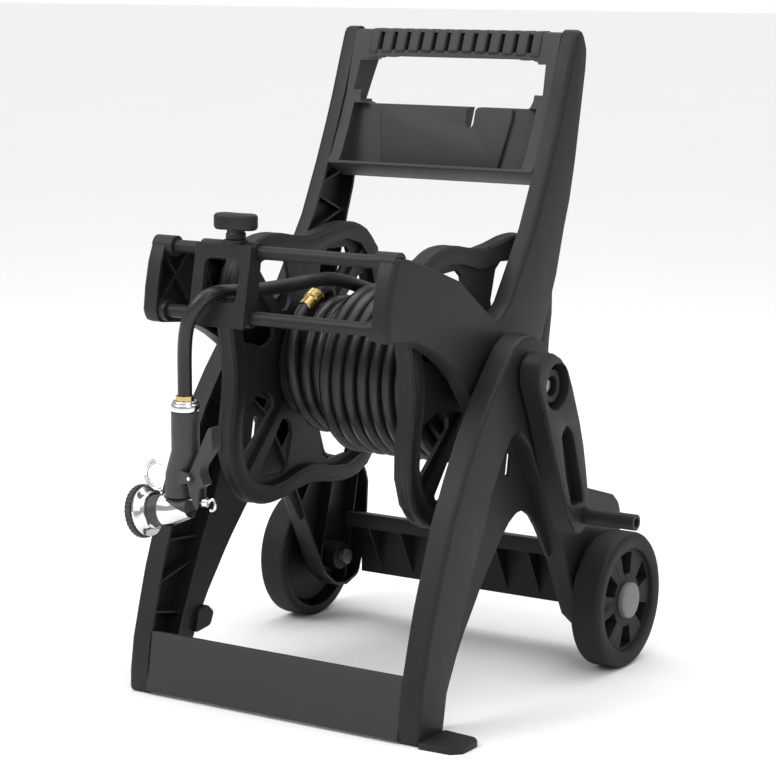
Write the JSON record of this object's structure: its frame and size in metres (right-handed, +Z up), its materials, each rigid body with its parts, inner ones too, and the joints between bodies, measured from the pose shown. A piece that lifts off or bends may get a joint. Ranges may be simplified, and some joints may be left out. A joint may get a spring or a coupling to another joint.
{
  "type": "garden hose reel cart",
  "caption": "Two-wheeled garden hose reel cart with a lobed reel, folding-style side frames, a sliding hose guide, a side crank and a spray nozzle on the hose end.",
  "frame": {"origin": "middle of the base of the cart without its hose, on the floor", "axes": "+X towards the crank, +Y towards the wheels, +Z up"},
  "size_m": [0.626, 0.6284, 0.876],
  "materials": {
    "dark": "moulded, fine satin grain",
    "grey": "moulded, lighter charcoal",
    "cap": "moulded, mid grey",
    "nozzle": "soft satin moulding",
    "hose": "glossy extruded vinyl",
    "chrome": "bright plating",
    "steel": "zinc plated",
    "brass": "machined",
    "green": "knurled dark green grey",
    "white": "natural acetal"
  },
  "bodies": {
    "frame": {"side_frame_right": "dark", "side_frame_left": "dark", "leg_right": "dark", "leg_left": "dark", "handle_insert": "grey", "front_crossbar": "grey", "rear_crossbar": "dark", "step_plate": "dark", "axle_pin_right": "steel", "axle_pin_left": "steel", "guide_bar_upper": "dark", "guide_bar_lower": "dark", "reel_bearing_right": "white", "reel_bearing_left": "white", "inlet_tube": "dark"},
    "reel": {"flange_right": "dark", "flange_left": "dark", "reel_drum": "dark", "reel_shaft": "dark", "hose_winding": "hose", "hose_tail": "hose", "outlet_elbow": "dark", "hose_coupling": "brass", "crank_arm": "dark", "crank_bolt": "steel", "grip_pin": "steel"},
    "crank_grip": {"crank_grip": "dark"},
    "wheel_right": {"wheel_right": "dark", "hub_cap_right": "cap"},
    "wheel_left": {"wheel_left": "dark", "hub_cap_left": "cap"},
    "inlet_nut": {"inlet_nut": "brass"},
    "guide": {"guide_body": "dark", "hose_lead": "hose", "hose_ferrule": "brass", "nozzle_collar": "chrome", "nozzle_body": "nozzle", "nozzle_barrel": "chrome", "nozzle_neck": "nozzle", "nozzle_loop": "chrome", "trigger_pin": "chrome"},
    "guide_knob": {"guide_knob": "dark"},
    "trigger": {"nozzle_trigger": "nozzle"},
    "flow_stem": {"flow_stem": "chrome"},
    "spray_head": {"nozzle_dish": "chrome", "nozzle_ring": "green"}
  },
  "joints": [
    {"name": "reel_spin", "type": "hinge", "parent": "frame", "child": "reel", "pos_m": [-0.028, 0.0115, 0.42], "axis": [1, 0, 0], "continuous": true},
    {"name": "grip_spin", "type": "hinge", "parent": "reel", "child": "crank_grip", "pos_m": [0.272, 0.09324, 0.232], "axis": [1, 0, 0], "continuous": true},
    {"name": "wheel_right_spin", "type": "hinge", "parent": "frame", "child": "wheel_right", "pos_m": [0.232, 0.1945, 0.095], "axis": [1, 0, 0], "continuous": true},
    {"name": "wheel_left_spin", "type": "hinge", "parent": "frame", "child": "wheel_left", "pos_m": [-0.288, 0.1945, 0.095], "axis": [1, 0, 0], "continuous": true},
    {"name": "inlet_nut_turn", "type": "hinge", "parent": "frame", "child": "inlet_nut", "pos_m": [-0.275, 0.0115, 0.42], "axis": [1, 0, 0], "continuous": true},
    {"name": "guide_slide", "type": "slide", "parent": "frame", "child": "guide", "axis": [1, 0, 0], "range_m": [-0.04, 0.175], "deforming": ["hose_lead"]},
    {"name": "knob_turn", "type": "hinge", "parent": "guide", "child": "guide_knob", "pos_m": [-0.087, -0.2545, 0.63], "axis": [0, 0, 1], "continuous": true},
    {"name": "trigger_pull", "type": "hinge", "parent": "guide", "child": "trigger", "pos_m": [-0.12, -0.3035, 0.314], "axis": [0, -1, 0], "range_deg": [0, 8], "stiffness_Nm_per_rad": 0.8, "springref_deg": -11.46},
    {"name": "stem_travel", "type": "slide", "parent": "guide", "child": "flow_stem", "axis": [1, 0, 0], "range_m": [0, 0.0045]},
    {"name": "spray_head_turn", "type": "hinge", "parent": "guide", "child": "spray_head", "pos_m": [-0.19731, -0.3035, 0.26025], "axis": [-0.9863, 0, -0.165], "continuous": true}
  ],
  "couplings": [
    {"joint": "stem_travel", "follows": "trigger_pull", "m_per_rad": 0.031}
  ]
}
